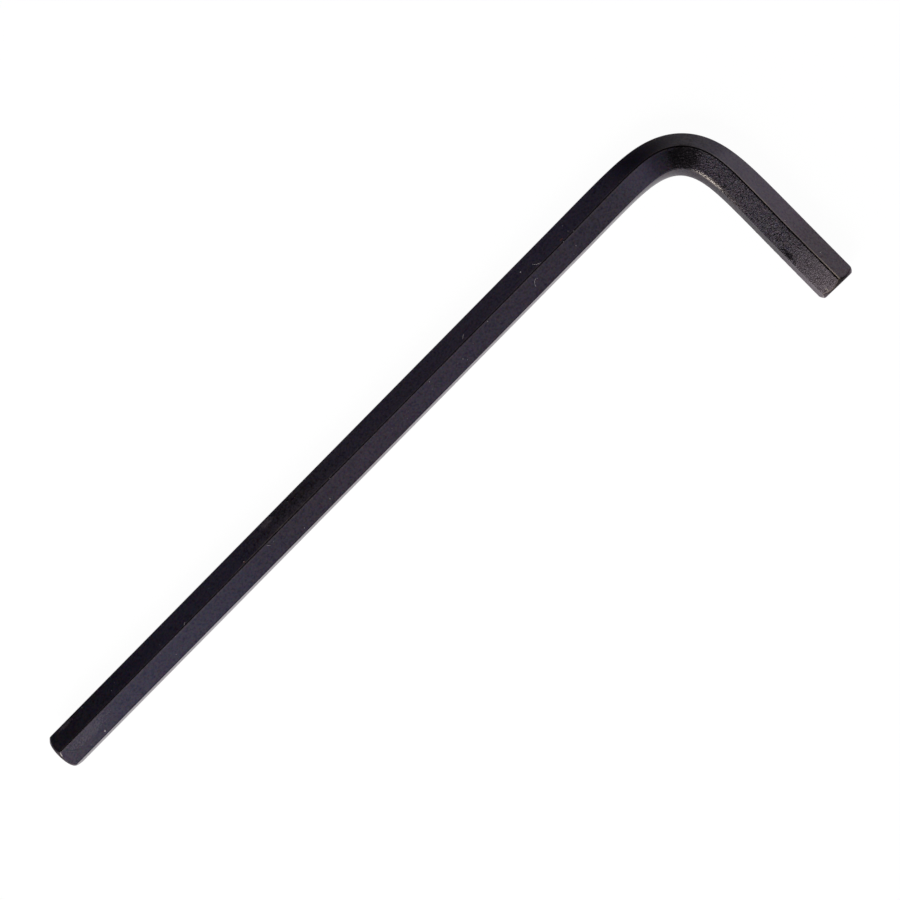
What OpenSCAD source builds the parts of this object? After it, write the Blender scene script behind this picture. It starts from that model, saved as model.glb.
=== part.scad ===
// Hex key: one piece of hexagonal bar, bent once into a long and a short arm.
// It lies on its side with the bend plane level. +X runs from the long arm's tip to the bend,
// the short arm then turns towards -Y, and +Z is up. Millimetres throughout.
// The origin is the centre of the end face of the long arm.

/* [Bar] */
// Size of the key: distance between two opposite flats of the bar
across_flats = 6; // [3:0.5:10]
// Radius along the six long edges of the drawn bar
corner_radius = 0.35; // [0.1:0.05:0.8]
// Axial length of the chamfer where it meets the bar's edges, at both tips
tip_chamfer = 0.7; // [0.1:0.05:1]

/* [Arms] */
// Long arm, from its tip to the outside of the bend
long_arm = 138.9; // [60:0.1:240]
// Short arm, from the outer flat of the long arm to its tip
short_arm = 37.4; // [32:0.1:80]

/* [Bend] */
// Angle that the bar turns through; a little over square, as the tool left it
bend_angle = 91.6; // [80:0.1:100]
// Radius of the bend line where it is tightest
bend_radius = 8.4; // [7:0.1:10]

/* [Section in the bend, as shares of across_flats] */
// How far the section moves outwards from the bend line
drift = 0.2; // [0:0.01:0.3]
// How much the stretched outer half gets thinner
outer_thinning = 0.1; // [0:0.01:0.2]
// How much the stretched outer flat gets narrower, on each side
outer_narrowing = 0.04; // [0:0.01:0.1]
// How much the squeezed inner half gets thicker
inner_thickening = 0.055; // [0:0.005:0.15]
// How much the squeezed inner flat gets wider, on each side
inner_spread = 0.155; // [0:0.005:0.2]
// How far the middle of the inner flat swells out of the flat
inner_bulge = 0.1; // [0:0.01:0.15]

/* [Hidden] */

// Steps around each rounded edge, and rings of the section around the bend
edge_steps = 5;
bend_steps = 32;
// Share of the turn at which the smooth bend line ends in a straight arm
turn_cutoff = 0.002;
// Power that sets how quickly the section changes on the way into the bend
change_power = 0.76;
// Share of each half of the inner flat that its swelling rounds
bulge_round = 0.6;
// Length by which a cutter passes the surface it cuts
overcut = 1;

half_flats = across_flats / 2;
// Distance from the axis to the unrounded corners, and half the width of one flat
sharp_corner = half_flats / cos(30);
half_flat_width = half_flats * tan(30);
// Distance from the axis to the rounded edges, which the key rests on
edge_reach = (half_flats - corner_radius) / cos(30) + corner_radius;
tip_face_radius = edge_reach - tip_chamfer;
bend_spread = bend_radius * bend_angle * PI / 360;

// Rings are closer together where the turn starts and ends
function turn_share(i) = (1 - cos(180 * i / bend_steps)) / 2;
function heading(i) = -bend_angle * turn_share(i);
// Way along the bend line at ring i; the turn grows as a hyperbolic tangent of it
function way(i) = let (t = turn_share(i))
    bend_spread / 2 * ln((t + turn_cutoff) / (1 - t + turn_cutoff));
// 0 on the straight arms and 1 in the middle of the bend
function squeeze(i) = let (t = turn_share(i)) pow(4 * t * (1 - t), change_power);

function step_from(i) = let (a = (heading(i) + heading(i + 1)) / 2)
    (way(i + 1) - way(i)) * [cos(a), sin(a)];
bend_line = [for (i = 0, p = [0, 0]; i <= bend_steps; p = p + step_from(i), i = i + 1) p];
bend_end = bend_line[bend_steps];

// Corners of the section at squeeze q, as [outwards, up], before their rounding.
// The one numbered bulge_corner is the middle of the inner flat.
bulge_corner = 5;
function corners(q) = let (
        w = across_flats * q,
        out = half_flats - outer_thinning * w,
        in = -half_flats - inner_thickening * w,
        out_up = half_flat_width - outer_narrowing * w,
        in_up = half_flat_width + inner_spread * w
    ) [for (c = [[0, sharp_corner], [out, out_up], [out, -out_up], [0, -sharp_corner],
                 [in, -in_up], [in - inner_bulge * w, 0], [in, in_up]]) c + [drift * w, 0]];

function unit(v) = v / norm(v);
// Points of an arc of corner_radius that rounds corner b between its neighbours a and c
function rounded(a, b, c) = let (
        to_a = unit(a - b),
        to_c = unit(c - b),
        half = acos(to_a * to_c) / 2,
        centre = b + unit(to_a + to_c) * corner_radius / sin(half),
        middle = atan2(b.y - centre.y, b.x - centre.x)
    ) [for (j = [0 : edge_steps]) let (a = middle + (90 - half) * (1 - 2 * j / edge_steps))
        centre + corner_radius * [cos(a), sin(a)]];
// Points of a soft swell at b, which stay apart where a, b and c are in line
function swollen(a, b, c) = let (from = b + bulge_round * (a - b), to = b + bulge_round * (c - b))
    [for (j = [0 : edge_steps]) let (t = j / edge_steps)
        (1 - t) * (1 - t) * from + 2 * t * (1 - t) * b + t * t * to];
// The same points with their top and bottom at the height of the rounded edges of the arms
function levelled(points) = let (k = edge_reach / max([for (p = points) p.y]))
    [for (p = points) [p.x, p.y * k]];
function section(q) = let (k = corners(q), n = len(k))
    levelled([for (j = [0 : n - 1]) let (a = k[(j + n - 1) % n], c = k[(j + 1) % n])
        each j == bulge_corner ? swollen(a, k[j], c) : rounded(a, k[j], c)]);

// Section at squeeze q, stood across a line that passes through p at angle a
function ring(p, a, q) = [for (c = section(q)) [p.x - c.x * sin(a), p.y + c.x * cos(a), c.y]];
bend_rings = [for (i = [0 : bend_steps]) ring(bend_line[i], heading(i), squeeze(i))];

// Lengths of the straight arms, so that the whole key has the overall sizes above
bend_reach = max([for (r = bend_rings) each [for (p = r) p.x]]);
long_straight = long_arm - bend_reach;
short_straight = (short_arm - half_flats + bend_end.y) / sin(bend_angle);
long_tip = [-long_straight, 0];
short_tip = bend_end + short_straight * [cos(bend_angle), -sin(bend_angle)];

// Closed solid through rings of equally many points
module loft(rings) {
    n = len(rings[0]);
    last = len(rings) - 1;
    sides = [for (i = [0 : last - 1], j = [0 : n - 1])
        let (a = i * n + j, b = i * n + (j + 1) % n)
        each [[a, a + n, b + n], [a, b + n, b]]];
    ends = [[for (j = [0 : n - 1]) j], [for (j = [n - 1 : -1 : 0]) last * n + j]];
    polyhedron([for (r = rings) each r], concat(sides, ends));
}

// What the chamfer takes off: all outside a 45 degree cone around +Z, from the tip's face at 0.
// It starts and ends its turn over the middle of a flat, away from the bar's edges.
module chamfer_cut() {
    clear = sharp_corner + overcut;
    rotate(30) rotate_extrude($fn = 96)
        polygon([[tip_face_radius - overcut, -overcut], [clear, -overcut],
                 [clear, clear - tip_face_radius]]);
}

module hex_key() {
    color("#2a262f") translate([long_straight, 0, 0]) difference() {
        loft(concat([ring(long_tip, 0, 0)], bend_rings, [ring(short_tip, -bend_angle, 0)]));
        translate(long_tip) rotate([0, 90, 0]) chamfer_cut();
        translate(short_tip) rotate([0, -90, -bend_angle]) chamfer_cut();
    }
}

hex_key();
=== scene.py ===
# %% [markdown]
# # A hex key in worn black oxide
# A hex key is one length of hexagonal steel bar, bent once. All of its looks come from three things:
# how the bar was shaped, the blue-black oxide skin that it was dipped in, and what use has done to
# that skin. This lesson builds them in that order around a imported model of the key, which says where
# the key is and how big it is.

# %% Load the frame
import math
import random

import bpy
from mathutils import Matrix, Vector


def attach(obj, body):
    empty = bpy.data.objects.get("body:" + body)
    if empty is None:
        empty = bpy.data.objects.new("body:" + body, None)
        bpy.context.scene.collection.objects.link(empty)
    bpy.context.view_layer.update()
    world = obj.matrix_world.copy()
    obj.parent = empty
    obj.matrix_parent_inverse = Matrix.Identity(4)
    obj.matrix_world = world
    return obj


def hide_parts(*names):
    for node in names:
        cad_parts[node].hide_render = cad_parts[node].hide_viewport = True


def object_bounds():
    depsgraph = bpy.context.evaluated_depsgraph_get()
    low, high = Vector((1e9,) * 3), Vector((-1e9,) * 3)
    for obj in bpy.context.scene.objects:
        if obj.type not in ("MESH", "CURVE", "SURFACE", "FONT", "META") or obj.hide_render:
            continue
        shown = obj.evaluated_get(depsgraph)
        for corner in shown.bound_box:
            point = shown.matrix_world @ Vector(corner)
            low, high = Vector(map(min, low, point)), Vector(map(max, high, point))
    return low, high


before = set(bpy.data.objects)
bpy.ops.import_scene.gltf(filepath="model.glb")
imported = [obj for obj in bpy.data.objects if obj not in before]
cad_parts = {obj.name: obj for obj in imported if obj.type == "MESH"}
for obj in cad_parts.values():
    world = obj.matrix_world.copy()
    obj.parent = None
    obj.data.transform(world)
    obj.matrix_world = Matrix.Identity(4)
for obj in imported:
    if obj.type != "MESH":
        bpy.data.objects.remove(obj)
cad_low, cad_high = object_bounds()
print("CAD box, mm:", [round(v * 1000, 2) for v in (*cad_low, *cad_high)])

# %% [markdown]
# Two helpers serve every step. One turns the hex colours that a paint chart gives into the linear
# values that Blender mixes. The other adds a node of any kind, with its settings and its inputs. An
# input may be a plain value, a node, which stands for its first output, or one of a node's sockets.

# %% Helpers for colours and nodes
MM = 0.001


def linear(hex_colour):
    """An sRGB colour such as "#2a262f" as linear red, green, blue and alpha."""
    shares = [int(hex_colour[i:i + 2], 16) / 255 for i in (1, 3, 5)]
    return [c / 12.92 if c <= 0.04045 else ((c + 0.055) / 1.055) ** 2.4 for c in shares] + [1.0]


def add(tree, kind, inputs=(), **settings):
    """Adds a node. inputs fills its sockets, in order from a list or by name from a dict."""
    node = tree.nodes.new(kind)
    for name, value in settings.items():
        setattr(node, name, value)
    pairs = inputs.items() if isinstance(inputs, dict) else enumerate(inputs)
    for key, value in pairs:
        if isinstance(value, bpy.types.Node):
            value = value.outputs[0]
        if isinstance(value, bpy.types.NodeSocket):
            tree.links.new(value, node.inputs[key])
        elif value is not None:
            node.inputs[key].default_value = value
    return node


# %% [markdown]
# ## The bar
# The key's sizes are those of the imported model, in millimetres, and its bend follows the same rule.
# Only the radius along the long edges differs: the photograph's edge lines are thinner than the
# imported model's radius would draw them. The section is levelled later, so that it reaches as high as
# before.
# The bar could be modelled by hand along the bend, but its shape follows a rule, so Geometry Nodes
# sweep it: a chain of stations is bent along a smooth line, a rounded hexagon is swept along the
# chain, and each ring of the sweep is then reshaped. In the bend the outer half is stretched thin and
# the inner half is squeezed wide. At both tips the rings close over a turned chamfer onto a flat face.

# %% Sizes of the key, in millimetres
across_flats = 6.0
corner_radius = 0.22
tip_chamfer = 0.7
long_arm = 138.9
short_arm = 37.4
bend_angle = math.radians(91.6)
bend_radius = 8.4
turn_cutoff = 0.002
change_power = 0.76
drift = 0.2
outer_thinning = 0.1

slant = math.radians(30)
half_flats = across_flats / 2
edge_reach = cad_high.z / MM
tip_face_radius = edge_reach - tip_chamfer
bend_spread = bend_radius * bend_angle / 2
print("edges reach", round(edge_reach, 3), "mm from the axis; tip face", round(tip_face_radius, 3), "mm")

# %% [markdown]
# The bend line turns as a hyperbolic tangent of the way along it, so it is nearly straight at both
# ends and tightest in the middle. Its place in space is the sum of many small steps. Python walks it
# once here, only to learn how long the two straight runs must be.

# %% Walk along the bend
half_way = bend_spread / 2 * math.log((1 + turn_cutoff) / turn_cutoff)


def turn_share(way):
    """Share of the turn that is done at a way along the bend line, counted from its middle."""
    ramp = (1 + math.tanh(way / bend_spread)) / 2
    return min(max(ramp * (1 + 2 * turn_cutoff) - turn_cutoff, 0), 1)


walk_steps = 4000
walk_step = 2 * half_way / walk_steps
spot = Vector((0, 0))
bend_reach = 0
for i in range(walk_steps):
    share = turn_share(-half_way + (i + 0.5) * walk_step)
    angle = -bend_angle * share
    spot += walk_step * Vector((math.cos(angle), math.sin(angle)))
    squeeze = (4 * share * (1 - share)) ** change_power
    outside = half_flats + (drift - outer_thinning) * across_flats * squeeze
    bend_reach = max(bend_reach, spot.x - outside * math.sin(angle))
long_straight = long_arm - bend_reach
short_straight = (short_arm - half_flats + spot.y) / math.sin(bend_angle)
bar_length = long_straight + 2 * half_way + short_straight
print("straight runs, mm:", round(long_straight, 2), round(short_straight, 2), "bar:", round(bar_length, 2))

# %% [markdown]
# The chain has a station for each ring. It starts in the middle of one tip's face, runs out over
# that face, along the bar, and in over the other face. Stations are close together at each chamfer,
# so that its edges stay crisp, and on the short arm, whose grain is real relief.

# %% Chain of stations
face_step = 0.3
fine_step = 0.05
fine_run = 1.3
arm_step = 1.2
bend_step = 0.35
grain_step = 0.16
chain_length = bar_length + 2 * tip_face_radius
fine_from = tip_face_radius - 4 * fine_step
fine_to = tip_face_radius + fine_run
bend_from = tip_face_radius + long_straight
grain_from = bend_from + half_way


def spaced(start, end, step):
    """Places from start up to end, evenly spaced by about step, without the end itself."""
    count = max(round((end - start) / step), 1)
    return [start + (end - start) * i / count for i in range(count)]


tip_places = spaced(0, fine_from, face_step) + spaced(fine_from, fine_to, fine_step)
places = tip_places + spaced(fine_to, bend_from, arm_step) + spaced(bend_from, grain_from, bend_step)
places += spaced(grain_from, chain_length - fine_to, grain_step) + [chain_length - fine_to]
places += [chain_length - p for p in tip_places[::-1]]
chain = bpy.data.meshes.new("key_bar")
chain.from_pydata([(p, 0, 0) for p in places], [(i, i + 1) for i in range(len(places) - 1)], [])
bar = bpy.data.objects.new("key_bar", chain)
bpy.context.scene.collection.objects.link(bar)
print("stations:", len(places))

# %% [markdown]
# The node tree comes in four parts. The first bends the chain. It works out each station's heading,
# takes the mean of two neighbouring headings for each step, and lets Accumulate Field add the steps.

# %% Tree, part 1: bend the chain
tree = bpy.data.node_groups.new("hexagon_bar", "GeometryNodeTree")
tree.interface.new_socket("Geometry", in_out="INPUT", socket_type="NodeSocketGeometry")
tree.interface.new_socket("Geometry", in_out="OUTPUT", socket_type="NodeSocketGeometry")
tree_inputs = {
    "Across flats": across_flats,
    "Corner radius": corner_radius,
    "Tip face radius": tip_face_radius,
    "Chain length": chain_length,
    "Bend middle": long_straight + half_way,
    "Bend spread": bend_spread,
    "Bend angle": bend_angle,
    "Drift": drift,
    "Outer thinning": outer_thinning,
    "Outer narrowing": 0.04,
    "Inner thickening": 0.055,
    "Inner spread": 0.155,
    "Inner swelling": 0.07,
    "Edge softness": 0.24,
    "Ridge levelling": 0.0047,
    "Grain height": 0.08,
    "Grain seed": 3.0,
}
for name in tree_inputs:
    tree.interface.new_socket(name, in_out="INPUT", socket_type="NodeSocketFloat")
tree.interface.new_socket("Material", in_out="INPUT", socket_type="NodeSocketMaterial")
given = add(tree, "NodeGroupInput").outputs
index = add(tree, "GeometryNodeInputIndex")
position = add(tree, "GeometryNodeInputPosition")
place = add(tree, "ShaderNodeSeparateXYZ", [position]).outputs[0]
past_long_face = add(tree, "ShaderNodeMath", [place, given["Tip face radius"]], operation="SUBTRACT")
bar_end = add(tree, "ShaderNodeMath", [given["Tip face radius"], -2, given["Chain length"]],
              operation="MULTIPLY_ADD")
along = add(tree, "ShaderNodeClamp", [past_long_face, 0.0, bar_end])
way = add(tree, "ShaderNodeMath", [along, given["Bend middle"]], operation="SUBTRACT")
way_ratio = add(tree, "ShaderNodeMath", [way, given["Bend spread"]], operation="DIVIDE")
ramp = add(tree, "ShaderNodeMath", [way_ratio], operation="TANH")
share = add(tree, "ShaderNodeMath", [ramp, 0.5 * (1 + 2 * turn_cutoff), 0.5],
            operation="MULTIPLY_ADD", use_clamp=True)
turned = add(tree, "ShaderNodeMath", [share, given["Bend angle"]], operation="MULTIPLY")
heading = add(tree, "ShaderNodeMath", [turned, -1.0], operation="MULTIPLY")
ahead = add(tree, "ShaderNodeCombineXYZ", [
    add(tree, "ShaderNodeMath", [heading], operation="COSINE"),
    add(tree, "ShaderNodeMath", [heading], operation="SINE"), 0.0])
behind_index = add(tree, "ShaderNodeMath", [
    add(tree, "ShaderNodeMath", [index, 1.0], operation="SUBTRACT"), 0.0], operation="MAXIMUM")
ahead_before = add(tree, "GeometryNodeFieldAtIndex", {"Index": behind_index, "Value": ahead},
                   data_type="FLOAT_VECTOR", domain="POINT")
along_before = add(tree, "GeometryNodeFieldAtIndex", {"Index": behind_index, "Value": along},
                   data_type="FLOAT", domain="POINT")
step_length = add(tree, "ShaderNodeMath", [along, along_before], operation="SUBTRACT")
both_ways = add(tree, "ShaderNodeVectorMath", [ahead, ahead_before], operation="ADD")
mean_way = add(tree, "ShaderNodeVectorMath", [both_ways], operation="NORMALIZE")
step = add(tree, "ShaderNodeVectorMath", {"Vector": mean_way, "Scale": step_length}, operation="SCALE")
walked = add(tree, "GeometryNodeAccumulateField", [step], data_type="FLOAT_VECTOR", domain="POINT")
middle_share = add(tree, "ShaderNodeMath", [
    add(tree, "ShaderNodeMath", [1.0, share], operation="SUBTRACT"), share], operation="MULTIPLY")
squeeze = add(tree, "ShaderNodeMath", [
    add(tree, "ShaderNodeMath", [middle_share, 4.0], operation="MULTIPLY"), change_power],
    operation="POWER")
keep = given["Geometry"]
kept = {}
for name, field, kind in (("place", place, "FLOAT"), ("along", along, "FLOAT"),
                          ("squeeze", squeeze, "FLOAT"), ("ahead", ahead, "VECTOR"),
                          ("centre", walked, "VECTOR")):
    capture = add(tree, "GeometryNodeCaptureAttribute", {"Geometry": keep}, domain="POINT")
    capture.capture_items.new(kind, name)
    source = field if isinstance(field, bpy.types.NodeSocket) else field.outputs[0]
    tree.links.new(source, capture.inputs[name])
    keep = capture.outputs["Geometry"]
    kept[name] = capture.outputs[name]
line = add(tree, "GeometryNodeMeshToCurve", [keep])
print("nodes so far:", len(tree.nodes))

# %% [markdown]
# The second part sweeps the section. A circle of six points is a hexagon, and Fillet Curve rounds
# its corners as the drawing die did. Turned by 30 degrees, the bar has flats on the inside and the
# outside of the bend and lies on its edges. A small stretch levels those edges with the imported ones.
# The swept ring takes its points from that outline with Sample Curve, which can crowd them where the
# light turns, at the corners: their even spacing gives way by a sine with one wave for each corner.

# %% Tree, part 2: sweep the rounded hexagon
section_points = 192
round_steps = 8
crowding = 0.6
waves_around = 12 * math.pi
corner_distance = add(tree, "ShaderNodeMath", [given["Across flats"], 1 / math.sqrt(3)],
                      operation="MULTIPLY")
hexagon = add(tree, "GeometryNodeCurvePrimitiveCircle", {"Resolution": 6, "Radius": corner_distance},
              mode="RADIUS")
stood = add(tree, "GeometryNodeTransform", {"Geometry": hexagon.outputs["Curve"],
                                            "Rotation": (0, 0, slant)})
rounded = add(tree, "GeometryNodeFilletCurve", {"Curve": stood, "Count": round_steps,
                                                "Radius": given["Corner radius"]}, mode="POLY")
rounded_reach = (half_flats - corner_radius) / math.cos(slant) + corner_radius
level = add(tree, "GeometryNodeTransform", {"Geometry": rounded,
                                            "Scale": (1, edge_reach / rounded_reach, 1)})
half_arc = corner_radius * math.pi / 6
outline = 6 * 2 * (half_flats - corner_radius) * math.tan(slant) + 12 * half_arc
wander = add(tree, "ShaderNodeMath", [
    add(tree, "ShaderNodeMath", [index, waves_around / section_points], operation="MULTIPLY")],
    operation="SINE")
evenly = add(tree, "ShaderNodeMath", [index, 1 / section_points, half_arc / outline],
             operation="MULTIPLY_ADD")
around_share = add(tree, "ShaderNodeMath", [
    add(tree, "ShaderNodeMath", [wander, -crowding / waves_around, evenly], operation="MULTIPLY_ADD")],
    operation="FRACT")
ring = add(tree, "GeometryNodeCurvePrimitiveCircle", {"Resolution": section_points}, mode="RADIUS")
on_outline = add(tree, "GeometryNodeSampleCurve", {"Curves": level, "Factor": around_share},
                 mode="FACTOR")
spaced_section = add(tree, "GeometryNodeSetPosition", {"Geometry": ring.outputs["Curve"],
                                                       "Position": on_outline.outputs["Position"]})
section = add(tree, "GeometryNodeCaptureAttribute", {"Geometry": spaced_section}, domain="POINT")
section.capture_items.new("VECTOR", "section")
tree.links.new(position.outputs[0], section.inputs["section"])
sweep = add(tree, "GeometryNodeCurveToMesh", {"Curve": line,
                                              "Profile Curve": section.outputs["Geometry"]})
print("points around:", section_points, "levelled by", round(edge_reach / rounded_reach, 4))

# %% [markdown]
# The third part moves every point of the sweep to its real place. Over a tip, the way from the
# middle of the face is split into face, cone and side. Smooth minimum and maximum, in place of plain
# ones, leave the small soft edges that make a chamfer catch the light. The rings lean where they
# cross the cone, and stand straight again a few millimetres on.

# %% Tree, part 3: shape the tips
lean_from, lean_to = 1.1, 4.5
sides = add(tree, "ShaderNodeSeparateXYZ", [section.outputs["section"]])
side, up = sides.outputs[0], sides.outputs[1]
section_reach = add(tree, "ShaderNodeVectorMath", [section.outputs["section"]], operation="LENGTH")
reach = section_reach.outputs["Value"]
kept_to_end = add(tree, "ShaderNodeMath", [given["Chain length"], kept["place"]], operation="SUBTRACT")
from_tip = add(tree, "ShaderNodeMath", [kept["place"], kept_to_end], operation="MINIMUM")
past_face = add(tree, "ShaderNodeMath", [from_tip, given["Tip face radius"]], operation="SUBTRACT")
past_edge = add(tree, "ShaderNodeMath", [past_face, 0.0, given["Edge softness"]],
                operation="SMOOTH_MAX")
cone_width = add(tree, "ShaderNodeMath", [reach, given["Tip face radius"]], operation="SUBTRACT")
cone_run = add(tree, "ShaderNodeMath", [past_edge, math.sqrt(0.5)], operation="MULTIPLY")
on_cone = add(tree, "ShaderNodeMath", [cone_run, cone_width, given["Edge softness"]],
              operation="SMOOTH_MIN")
on_face = add(tree, "ShaderNodeMath", [from_tip, past_edge], operation="SUBTRACT")
radius = add(tree, "ShaderNodeMath", [on_face, on_cone], operation="ADD")
shrink = add(tree, "ShaderNodeMath", [radius, reach], operation="DIVIDE")
lean = add(tree, "ShaderNodeMapRange", {"Value": past_edge, "From Min": lean_from, "From Max": lean_to,
                                        "To Min": math.sqrt(2) - 1, "To Max": 0.0},
           interpolation_type="SMOOTHSTEP")
lag = add(tree, "ShaderNodeMath", [on_cone, lean], operation="MULTIPLY")
depth = add(tree, "ShaderNodeMath", [past_edge, lag], operation="SUBTRACT")
ring_depth = add(tree, "ShaderNodeMath", [past_face, 0.0], operation="MAXIMUM")
depth_change = add(tree, "ShaderNodeMath", [depth, ring_depth], operation="SUBTRACT")
which_tip = add(tree, "ShaderNodeMath", [
    add(tree, "ShaderNodeMath", [kept_to_end, kept["place"]], operation="SUBTRACT")], operation="SIGN")
shift_ahead = add(tree, "ShaderNodeMath", [depth_change, which_tip], operation="MULTIPLY")

# %% [markdown]
# The same part gives the section its new form in the bend. Corners move by named shares of the
# width across flats, and everything between two corners moves in proportion, so flats stay flat.
# Only the squeezed inner flat swells, most in its middle.

# %% Tree, part 3: reshape the section in the bend
change = add(tree, "ShaderNodeMath", [kept["squeeze"], given["Across flats"]], operation="MULTIPLY")
flat_half = add(tree, "ShaderNodeMath", [given["Across flats"], 0.5 * math.tan(slant)],
                operation="MULTIPLY")
flats_half = add(tree, "ShaderNodeMath", [given["Across flats"], 0.5], operation="MULTIPLY")
side_share = add(tree, "ShaderNodeMath", [side, flats_half], operation="DIVIDE")
outer_share = add(tree, "ShaderNodeMath", [side_share, 0.0], operation="MAXIMUM")
inner_share = add(tree, "ShaderNodeMath", [
    add(tree, "ShaderNodeMath", [side_share, -1.0], operation="MULTIPLY"), 0.0], operation="MAXIMUM")
up_share = add(tree, "ShaderNodeClamp", [
    add(tree, "ShaderNodeMath", [up, flat_half], operation="DIVIDE"), -1.0, 1.0])
flat_middle = add(tree, "ShaderNodeMath", [
    add(tree, "ShaderNodeMath", [up_share, up_share], operation="MULTIPLY"), -1.0, 1.0],
    operation="MULTIPLY_ADD")
thinner = add(tree, "ShaderNodeMath", [outer_share, given["Outer thinning"]], operation="MULTIPLY")
thicker = add(tree, "ShaderNodeMath", [inner_share, given["Inner thickening"]], operation="MULTIPLY")
swelling = add(tree, "ShaderNodeMath", [flat_middle, given["Inner swelling"]], operation="MULTIPLY")
swelling_inside = add(tree, "ShaderNodeMath", [swelling, inner_share], operation="MULTIPLY")
inwards = add(tree, "ShaderNodeMath", [
    add(tree, "ShaderNodeMath", [thinner, thicker], operation="ADD"), swelling_inside], operation="ADD")
side_change = add(tree, "ShaderNodeMath", [given["Drift"], inwards], operation="SUBTRACT")
new_side = add(tree, "ShaderNodeMath", [side_change, change, side], operation="MULTIPLY_ADD")
wider = add(tree, "ShaderNodeMath", [inner_share, given["Inner spread"]], operation="MULTIPLY")
narrower = add(tree, "ShaderNodeMath", [outer_share, given["Outer narrowing"]], operation="MULTIPLY")
up_change = add(tree, "ShaderNodeMath", [
    add(tree, "ShaderNodeMath", [wider, narrower], operation="SUBTRACT"), up_share],
    operation="MULTIPLY")
raised_up = add(tree, "ShaderNodeMath", [up_change, change, up], operation="MULTIPLY_ADD")
levelling = add(tree, "ShaderNodeMath", [
    add(tree, "ShaderNodeMath", [kept["squeeze"], given["Ridge levelling"]], operation="MULTIPLY"),
    -1.0, 1.0], operation="MULTIPLY_ADD")
new_up = add(tree, "ShaderNodeMath", [raised_up, levelling], operation="MULTIPLY")
ahead_parts = add(tree, "ShaderNodeSeparateXYZ", [kept["ahead"]])
outwards = add(tree, "ShaderNodeCombineXYZ", [
    add(tree, "ShaderNodeMath", [ahead_parts.outputs[1], -1.0], operation="MULTIPLY"),
    ahead_parts.outputs[0], 0.0])
side_step = add(tree, "ShaderNodeVectorMath", {
    "Vector": outwards, "Scale": add(tree, "ShaderNodeMath", [new_side, shrink],
                                     operation="MULTIPLY").outputs[0]}, operation="SCALE")
up_step = add(tree, "ShaderNodeCombineXYZ", [
    0.0, 0.0, add(tree, "ShaderNodeMath", [new_up, shrink], operation="MULTIPLY")])
ahead_step = add(tree, "ShaderNodeVectorMath", {"Vector": kept["ahead"], "Scale": shift_ahead},
                 operation="SCALE")
place_parts = [kept["centre"], side_step, up_step, ahead_step]
total = place_parts[0]
for part in place_parts[1:]:
    total = add(tree, "ShaderNodeVectorMath", [total, part], operation="ADD")
shaped = add(tree, "GeometryNodeSetPosition", {"Geometry": sweep, "Position": total})
print("nodes so far:", len(tree.nodes))

# %% [markdown]
# The fourth part gives the surface its real relief. Steel that is squeezed against the inside of the
# bend and left there goes pebbly, like orange peel, and the short arm also carries two nicks at its
# tip and a shallow scrape. Each is a height along the surface's normal, in millimetres.

# %% Tree, part 4: grain and dents
bar_place = add(tree, "ShaderNodeCombineXYZ", [kept["along"], side, up])
pebbles = add(tree, "ShaderNodeTexNoise", {"Vector": bar_place, "W": given["Grain seed"], "Scale": 3.8,
                                           "Detail": 1.5, "Roughness": 0.6}, noise_dimensions="4D")
pebble_height = add(tree, "ShaderNodeMath", [
    add(tree, "ShaderNodeMath", [pebbles.outputs[0], 0.5], operation="SUBTRACT"), given["Grain height"]],
    operation="MULTIPLY")
past_bend = add(tree, "ShaderNodeMapRange", {
    "Value": kept["along"], "From Min": long_straight + 0.8 * half_way,
    "From Max": long_straight + 1.2 * half_way}, interpolation_type="SMOOTHSTEP")
before_tip = add(tree, "ShaderNodeMapRange", {
    "Value": kept["along"], "From Min": bar_length - 1.5, "From Max": bar_length - 1.0, "To Min": 1.0,
    "To Max": 0.0})
inside = add(tree, "ShaderNodeMapRange", {"Value": side, "From Min": -0.1, "From Max": -0.5, "To Min": 0.15,
                                          "To Max": 1.0})
pebbly = add(tree, "ShaderNodeMath", [past_bend, before_tip], operation="MULTIPLY")
pebbly_inside = add(tree, "ShaderNodeMath", [pebbly, inside], operation="MULTIPLY")
relief = add(tree, "ShaderNodeMath", [pebble_height, pebbly_inside], operation="MULTIPLY")
upper_half = add(tree, "ShaderNodeMath", [up, 0.0], operation="GREATER_THAN")
dents = {
    "nick": {"from_tip": 1.2, "side": -2.3, "half_length": 0.3, "half_width": 0.3, "depth": 0.09},
    "second_nick": {"from_tip": 1.0, "side": -2.7, "half_length": 0.2, "half_width": 0.3, "depth": 0.06},
    "scrape": {"from_tip": 8.8, "side": -2.3, "half_length": 1.2, "half_width": 0.35, "depth": 0.02},
}
for dent in dents.values():
    across = add(tree, "ShaderNodeCombineXYZ", [
        add(tree, "ShaderNodeMath", [kept["along"], 1 / dent["half_length"],
                                     (dent["from_tip"] - bar_length) / dent["half_length"]],
            operation="MULTIPLY_ADD"),
        add(tree, "ShaderNodeMath", [side, 1 / dent["half_width"], -dent["side"] / dent["half_width"]],
            operation="MULTIPLY_ADD"), 0.0])
    squared = add(tree, "ShaderNodeVectorMath", [across, across], operation="DOT_PRODUCT")
    bowl = add(tree, "ShaderNodeMath", [math.e, add(tree, "ShaderNodeMath", [
        squared.outputs["Value"], -1.0], operation="MULTIPLY")], operation="POWER")
    on_top = add(tree, "ShaderNodeMath", [bowl, upper_half], operation="MULTIPLY")
    relief = add(tree, "ShaderNodeMath", [on_top, -dent["depth"], relief], operation="MULTIPLY_ADD")
normal = add(tree, "GeometryNodeInputNormal")
lift = add(tree, "ShaderNodeVectorMath", {"Vector": normal, "Scale": relief}, operation="SCALE")
grained = add(tree, "GeometryNodeSetPosition", {"Geometry": shaped, "Offset": lift})
print("nodes so far:", len(tree.nodes))

# %% [markdown]
# At the end the bar's own millimetres are stored on the mesh, for the material to find its way by.
# The rings that closed on the middle of a face are welded, and the whole is brought to metres.

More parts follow.
